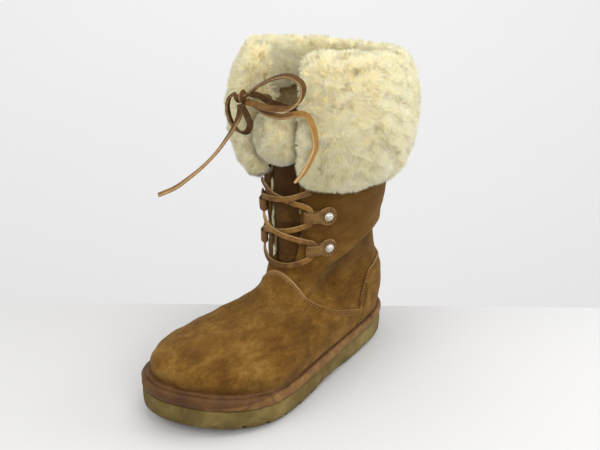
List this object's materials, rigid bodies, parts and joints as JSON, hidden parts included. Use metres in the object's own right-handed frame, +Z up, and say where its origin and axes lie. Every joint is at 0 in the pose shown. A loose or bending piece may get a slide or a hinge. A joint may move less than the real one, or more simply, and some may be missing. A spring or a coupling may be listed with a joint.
{
  "type": "lace-up winter boot",
  "caption": "Tall left lace-up suede boot with a folded fleece cuff, a laced throat, leather pull loops and a thick flat gum sole.",
  "frame": {"origin": "middle of the heel's flat tread, on the floor", "axes": "+Z up along the shaft, -Y towards the toe, +X towards the wearer's left, the outer side of the foot"},
  "size_m": [0.1578, 0.2915, 0.2835],
  "materials": {
    "suede": "brushed chestnut suede",
    "fleece": "deep curly cream fleece",
    "insole_fleece": "worn short fleece",
    "lace_leather": "smooth flat leather lace",
    "rivet_metal": "satin",
    "gum_rubber": "matt, marked with dirt",
    "welt_rubber": "leather-like grain, scuffed"
  },
  "bodies": {
    "root": {"cuff": "fleece", "heel_counter": "suede", "insole": "insole_fleece", "lace_bow_inner": "lace_leather", "lace_bow_outer": "lace_leather", "lace_crossings": "lace_leather", "lace_end_long": "lace_leather", "lace_end_short": "lace_leather", "lace_knot": "lace_leather", "lace_loop_inner_1": "lace_leather", "lace_loop_inner_2": "lace_leather", "lace_loop_outer_1": "lace_leather", "lace_loop_outer_2": "lace_leather", "lace_rise_inner": "lace_leather", "lace_rise_outer": "lace_leather", "outsole": "gum_rubber", "rivet_inner_1": "rivet_metal", "rivet_inner_2": "rivet_metal", "rivet_outer_1": "rivet_metal", "rivet_outer_2": "rivet_metal", "tongue": "suede", "tongue_fleece": "fleece", "upper": "suede", "vamp": "suede", "welt": "welt_rubber"}
  },
  "joints": []
}
